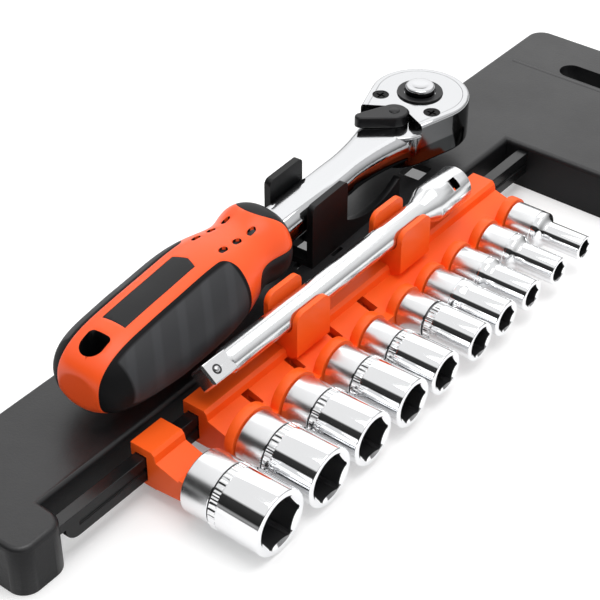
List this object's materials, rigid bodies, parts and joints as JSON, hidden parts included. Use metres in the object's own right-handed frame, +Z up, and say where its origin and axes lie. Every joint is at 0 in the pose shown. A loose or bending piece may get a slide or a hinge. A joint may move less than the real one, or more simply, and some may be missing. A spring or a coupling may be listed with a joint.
{
  "type": "socket set rack",
  "caption": "Open hanging rack with a slotted header and sliding clips that hold a reversible ratchet, an extension bar and a row of graded sockets.",
  "frame": {"origin": "middle of the hanging slot, in the plane of the back that the rack lies on", "axes": "+X the way the sockets point, +Y along the rail from the foot to the header, +Z up from the back"},
  "size_m": [0.0842, 0.2976, 0.0435],
  "materials": {
    "rack_plastic": "fine matt moulded black",
    "rail_plastic": "smooth black",
    "clip_plastic": "smooth orange moulding",
    "chrome": "polished plating",
    "steel": "bright ground steel",
    "black_steel": "blackened",
    "handle_plastic": "satin orange moulding",
    "grip_rubber": "soft matt rubber",
    "plate_plastic": "bare black inlay"
  },
  "bodies": {
    "rack": {"rack_frame": "rack_plastic", "socket_rail": "rail_plastic", "ratchet_bracket": "rack_plastic"},
    "end_clip": {"end_clip": "clip_plastic"},
    "clip_strip": {"clip_strip": "clip_plastic"},
    "socket_13": {"socket_13_mm": "chrome"},
    "socket_12": {"socket_12_mm": "chrome"},
    "socket_11": {"socket_11_mm": "chrome"},
    "socket_10": {"socket_10_mm": "chrome"},
    "socket_9": {"socket_9_mm": "chrome"},
    "socket_8": {"socket_8_mm": "chrome"},
    "socket_7": {"socket_7_mm": "chrome"},
    "socket_6": {"socket_6_mm": "chrome"},
    "socket_5_5": {"socket_5_5_mm": "chrome"},
    "socket_5": {"socket_5_mm": "chrome"},
    "extension": {"extension_bar": "chrome", "extension_ball_spring": "steel"},
    "extension_ball": {"extension_ball": "steel"},
    "ratchet": {"ratchet_body": "chrome", "cover_plate": "chrome", "cover_screws": "black_steel", "retaining_ring": "steel", "handle_core": "handle_plastic", "grip_pad_right": "grip_rubber", "grip_pad_left": "grip_rubber", "handle_plate": "plate_plastic", "handle_collar": "plate_plastic"},
    "gear": {"drive_gear": "steel", "dust_ring": "black_steel", "button_spring": "steel"},
    "button": {"release_button": "chrome"},
    "drive_ball": {"drive_ball": "steel"},
    "lever": {"reversing_lever": "black_steel"},
    "pawl": {"pawl": "steel"}
  },
  "joints": [
    {"name": "end_clip_slide", "type": "slide", "parent": "rack", "child": "end_clip", "axis": [0, 1, 0], "range_m": [-0.026, 0.0015]},
    {"name": "clip_strip_slide", "type": "slide", "parent": "rack", "child": "clip_strip", "axis": [0, 1, 0], "range_m": [0, 0.018]},
    {"name": "socket_13_pull", "type": "slide", "parent": "end_clip", "child": "socket_13", "axis": [1, 0, 0], "range_m": [0, 0.03]},
    {"name": "socket_12_pull", "type": "slide", "parent": "clip_strip", "child": "socket_12", "axis": [1, 0, 0], "range_m": [0, 0.03]},
    {"name": "socket_11_pull", "type": "slide", "parent": "clip_strip", "child": "socket_11", "axis": [1, 0, 0], "range_m": [0, 0.03]},
    {"name": "socket_10_pull", "type": "slide", "parent": "clip_strip", "child": "socket_10", "axis": [1, 0, 0], "range_m": [0, 0.03]},
    {"name": "socket_9_pull", "type": "slide", "parent": "clip_strip", "child": "socket_9", "axis": [1, 0, 0], "range_m": [0, 0.03]},
    {"name": "socket_8_pull", "type": "slide", "parent": "clip_strip", "child": "socket_8", "axis": [1, 0, 0], "range_m": [0, 0.03]},
    {"name": "socket_7_pull", "type": "slide", "parent": "clip_strip", "child": "socket_7", "axis": [1, 0, 0], "range_m": [0, 0.03]},
    {"name": "socket_6_pull", "type": "slide", "parent": "clip_strip", "child": "socket_6", "axis": [1, 0, 0], "range_m": [0, 0.03]},
    {"name": "socket_5_5_pull", "type": "slide", "parent": "clip_strip", "child": "socket_5_5", "axis": [1, 0, 0], "range_m": [0, 0.03]},
    {"name": "socket_5_pull", "type": "slide", "parent": "clip_strip", "child": "socket_5", "axis": [1, 0, 0], "range_m": [0, 0.03]},
    {"name": "extension_lift", "type": "slide", "parent": "clip_strip", "child": "extension", "axis": [0, 0, 1], "range_m": [0, 0.03]},
    {"name": "extension_ball_press", "type": "slide", "parent": "extension", "child": "extension_ball", "axis": [0.6157, 0, 0.788], "range_m": [-0.0005, 0], "stiffness_N_per_m": 400},
    {"name": "ratchet_lift", "type": "slide", "parent": "rack", "child": "ratchet", "axis": [0, 0, 1], "range_m": [0, 0.06]},
    {"name": "drive_turn", "type": "hinge", "parent": "ratchet", "child": "gear", "pos_m": [-0.0275, -0.0757, 0.0236], "axis": [0, 0, 1], "continuous": true},
    {"name": "button_press", "type": "slide", "parent": "gear", "child": "button", "axis": [0, 0, -1], "range_m": [0, 0.0018], "stiffness_N_per_m": 900, "springref_m": -0.0006},
    {"name": "drive_ball_slide", "type": "slide", "parent": "gear", "child": "drive_ball", "axis": [0.0523, -0.9986, 0], "range_m": [-0.0005, 0]},
    {"name": "lever_turn", "type": "hinge", "parent": "ratchet", "child": "lever", "pos_m": [-0.02672, -0.09048, 0.0349], "axis": [0, 0, 1], "range_deg": [0, 80]},
    {"name": "pawl_rock", "type": "hinge", "parent": "ratchet", "child": "pawl", "pos_m": [-0.02672, -0.09048, 0.031], "axis": [0, 0, 1], "range_deg": [0, 3]}
  ],
  "couplings": [
    {"joint": "drive_ball_slide", "follows": "button_press", "ratio": -0.27778},
    {"joint": "pawl_rock", "follows": "lever_turn", "ratio": 0.0375}
  ]
}
